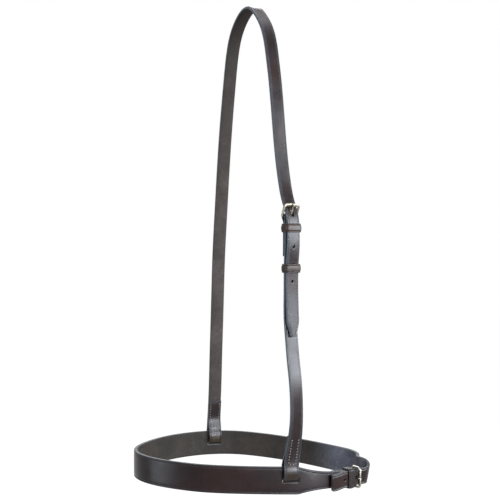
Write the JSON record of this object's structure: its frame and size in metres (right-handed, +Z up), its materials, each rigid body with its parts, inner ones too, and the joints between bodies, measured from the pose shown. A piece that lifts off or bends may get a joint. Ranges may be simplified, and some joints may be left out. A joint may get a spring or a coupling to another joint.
{
  "type": "bridle noseband",
  "caption": "Plain leather noseband for a bridle: a wide nosepiece buckled at the jaw, hung from a long head strap with a buckled cheekpiece.",
  "frame": {"origin": "underside of the head strap's crown, where it rests on the poll, in the middle of the strap", "axes": "+Z up from the nosepiece to the poll, -X towards the nose, +X towards the jaw, -Y towards the near side with both buckles, +Y towards the off side"},
  "size_m": [0.221, 0.1956, 0.4857],
  "materials": {
    "bridle_leather": "waxed, dark havana, soft sheen",
    "keeper_leather": "waxed, warm dark brown",
    "nickel": "polished nickel plate"
  },
  "bodies": {
    "straps": {"nosepiece": "bridle_leather", "head_strap": "bridle_leather", "cheekpiece": "bridle_leather", "cheek_fixed_keeper": "keeper_leather", "chin_keeper": "keeper_leather"},
    "cheek_buckle": {"cheek_buckle_frame": "nickel"},
    "cheek_tongue": {"cheek_buckle_tongue": "nickel"},
    "cheek_runner": {"cheek_runner_keeper": "keeper_leather"},
    "chin_buckle": {"chin_buckle_frame": "nickel"},
    "chin_tongue": {"chin_buckle_tongue": "nickel"}
  },
  "joints": [
    {"name": "cheek_buckle_hinge", "type": "hinge", "parent": "straps", "child": "cheek_buckle", "pos_m": [-0.00031, -0.07844, -0.21563], "axis": [0.9903, 0.1392, -0.0016], "range_deg": [-2, 8]},
    {"name": "cheek_tongue_hinge", "type": "hinge", "parent": "cheek_buckle", "child": "cheek_tongue", "pos_m": [-0.00031, -0.07844, -0.21563], "axis": [0.9903, 0.1392, -0.0016], "range_deg": [0, 8]},
    {"name": "chin_buckle_hinge", "type": "hinge", "parent": "straps", "child": "chin_buckle", "pos_m": [0.06948, -0.08245, -0.46959], "axis": [0, 0, -1], "range_deg": [-4, 2]},
    {"name": "chin_tongue_hinge", "type": "hinge", "parent": "chin_buckle", "child": "chin_tongue", "pos_m": [0.06948, -0.08245, -0.46959], "axis": [0, 0, -1], "range_deg": [0, 2.5]},
    {"name": "runner_slide", "type": "slide", "parent": "straps", "child": "cheek_runner", "axis": [0, 0.0303, -0.9995], "range_m": [-0.003, 0.02]}
  ]
}
